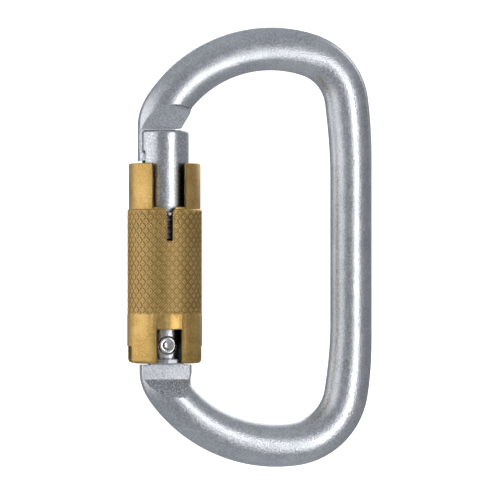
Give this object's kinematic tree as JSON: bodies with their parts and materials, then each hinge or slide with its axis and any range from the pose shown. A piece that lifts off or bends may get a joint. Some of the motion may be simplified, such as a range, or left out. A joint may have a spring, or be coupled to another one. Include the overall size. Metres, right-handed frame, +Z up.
{
  "type": "locking carabiner",
  "caption": "D-shaped steel connector with a sprung hinged gate, closed by a sleeve that twists and lifts along a helical groove to unlock.",
  "frame": {"origin": "inner bearing point of the top bend, where the connector hangs from its anchor", "axes": "+Z up along the spine, +X from the gate towards the spine, +Y away from the side with the slots"},
  "size_m": [0.0617, 0.0186, 0.11],
  "materials": {
    "plated_steel": "satin zinc plate over forged steel, finely blasted",
    "bright_steel": "turned and plated, brighter than the frame",
    "pin_steel": "polished and riveted over",
    "clip_steel": "satin spring steel",
    "spring_steel": "drawn wire",
    "gold_aluminium": "gold anodised, satin, with a diamond knurl"
  },
  "bodies": {
    "frame": {"frame": "plated_steel"},
    "gate": {"gate": "bright_steel", "hinge_pin": "pin_steel", "guide_pin": "pin_steel", "retaining_clip": "clip_steel", "gate_spring": "spring_steel"},
    "plunger": {"gate_plunger": "clip_steel"},
    "washer": {"spring_seat_washer": "clip_steel"},
    "sleeve": {"sleeve": "gold_aluminium", "locking_spring": "spring_steel"}
  },
  "joints": [
    {"name": "gate_open", "type": "hinge", "parent": "frame", "child": "gate", "pos_m": [-0.0284, 0, -0.06845], "axis": [0, 1, 0], "range_deg": [0, 27], "stiffness_Nm_per_rad": 0.8, "springref_deg": -28.65},
    {"name": "plunger_travel", "type": "slide", "parent": "gate", "child": "plunger", "axis": [0, 0, 1], "range_m": [0, 0.0011], "deforming": ["gate_spring"]},
    {"name": "sleeve_lift", "type": "slide", "parent": "gate", "child": "washer", "axis": [0, 0, 1], "range_m": [0, 0.0058], "stiffness_N_per_m": 250, "springref_m": -0.012, "deforming": ["locking_spring"]},
    {"name": "sleeve_twist", "type": "hinge", "parent": "washer", "child": "sleeve", "pos_m": [-0.0284, 0, -0.06845], "axis": [0, 0, -1], "range_deg": [0, 90.5]}
  ],
  "couplings": [
    {"joint": "plunger_travel", "follows": "gate_open", "m_per_rad": 0.0021221},
    {"joint": "sleeve_twist", "follows": "sleeve_lift", "rad_per_m": 270.83}
  ]
}
